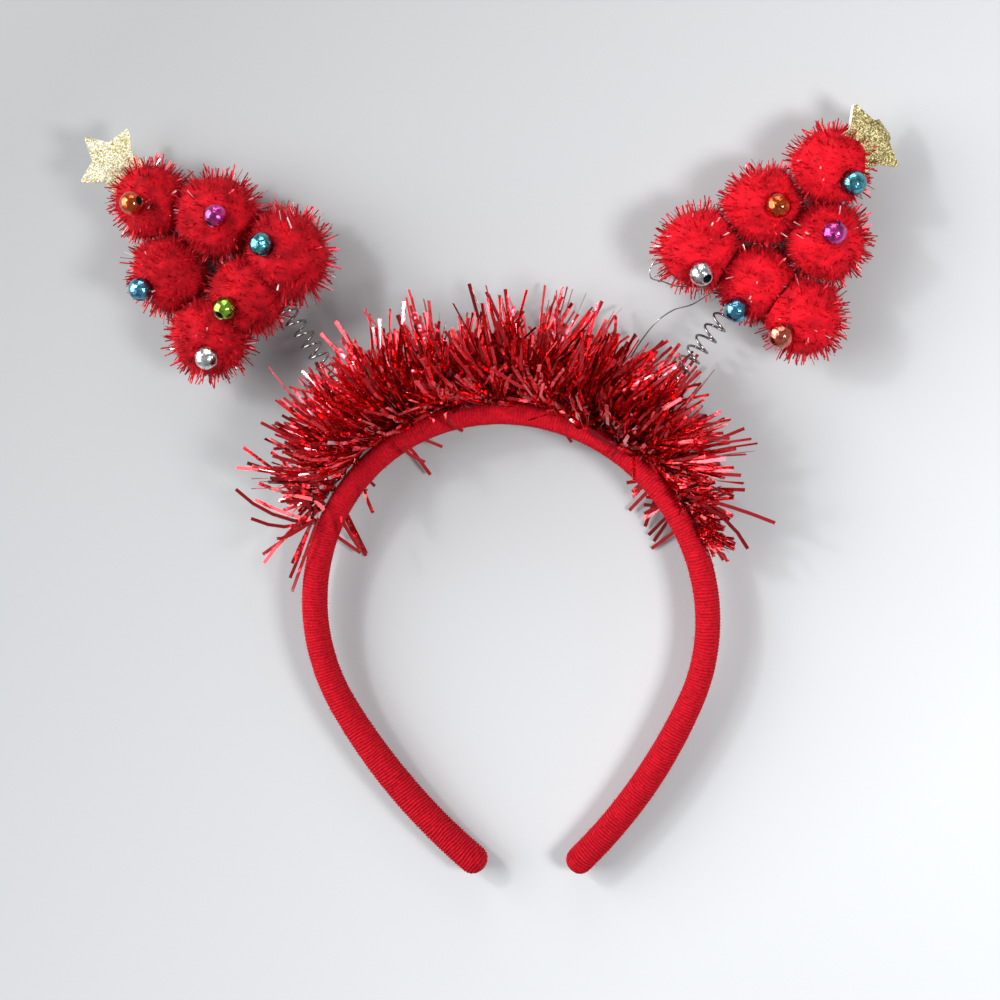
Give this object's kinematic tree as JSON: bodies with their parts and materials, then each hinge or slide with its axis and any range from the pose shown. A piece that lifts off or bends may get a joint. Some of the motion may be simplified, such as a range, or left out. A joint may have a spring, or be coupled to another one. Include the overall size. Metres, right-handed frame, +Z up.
{
  "type": "christmas tree headband",
  "caption": "Yarn-wound headband with a tinsel garland over the crown and small trees of pompoms, beads and a star on coil springs.",
  "frame": {"origin": "on the floor under the middle of the box, with the headband lying on its back", "axes": "+Z up, out of the headband's front; +Y from the band's tips to its crown and trees; +X to the right of someone who faces its front"},
  "size_m": [0.2748, 0.2612, 0.0452],
  "materials": {
    "red_yarn": "matte crimson yarn, wound side by side round the band",
    "red_tinsel": "glossy red metallised film",
    "steel_wire": "bright drawn spring wire",
    "red_pompom": "matte red fuzz with a glossy tinsel fringe",
    "gold_glitter": "gold glitter on foam sheet",
    "orange_bead": "orange metallised plastic, slightly uneven mirror",
    "magenta_bead": "magenta metallised plastic, slightly uneven mirror",
    "teal_bead": "teal metallised plastic, slightly uneven mirror",
    "blue_bead": "blue metallised plastic, slightly uneven mirror",
    "green_bead": "green metallised plastic, slightly uneven mirror",
    "silver_bead": "silver metallised plastic, slightly uneven mirror",
    "copper_bead": "copper metallised plastic, slightly uneven mirror"
  },
  "bodies": {
    "root": {"headband": "red_yarn", "tinsel_garland": "red_tinsel", "left_spring": "steel_wire", "left_pompom_1": "red_pompom", "left_pompom_2": "red_pompom", "left_pompom_3": "red_pompom", "left_pompom_4": "red_pompom", "left_pompom_5": "red_pompom", "left_pompom_6": "red_pompom", "left_bead_1": "orange_bead", "left_bead_2": "magenta_bead", "left_bead_3": "teal_bead", "left_bead_4": "blue_bead", "left_bead_5": "green_bead", "left_bead_6": "silver_bead", "left_star": "gold_glitter", "right_spring": "steel_wire", "right_pompom_1": "red_pompom", "right_pompom_2": "red_pompom", "right_pompom_3": "red_pompom", "right_pompom_4": "red_pompom", "right_pompom_5": "red_pompom", "right_pompom_6": "red_pompom", "right_bead_1": "teal_bead", "right_bead_2": "orange_bead", "right_bead_3": "silver_bead", "right_bead_4": "magenta_bead", "right_bead_5": "blue_bead", "right_bead_6": "copper_bead", "right_star": "gold_glitter"}
  },
  "joints": []
}
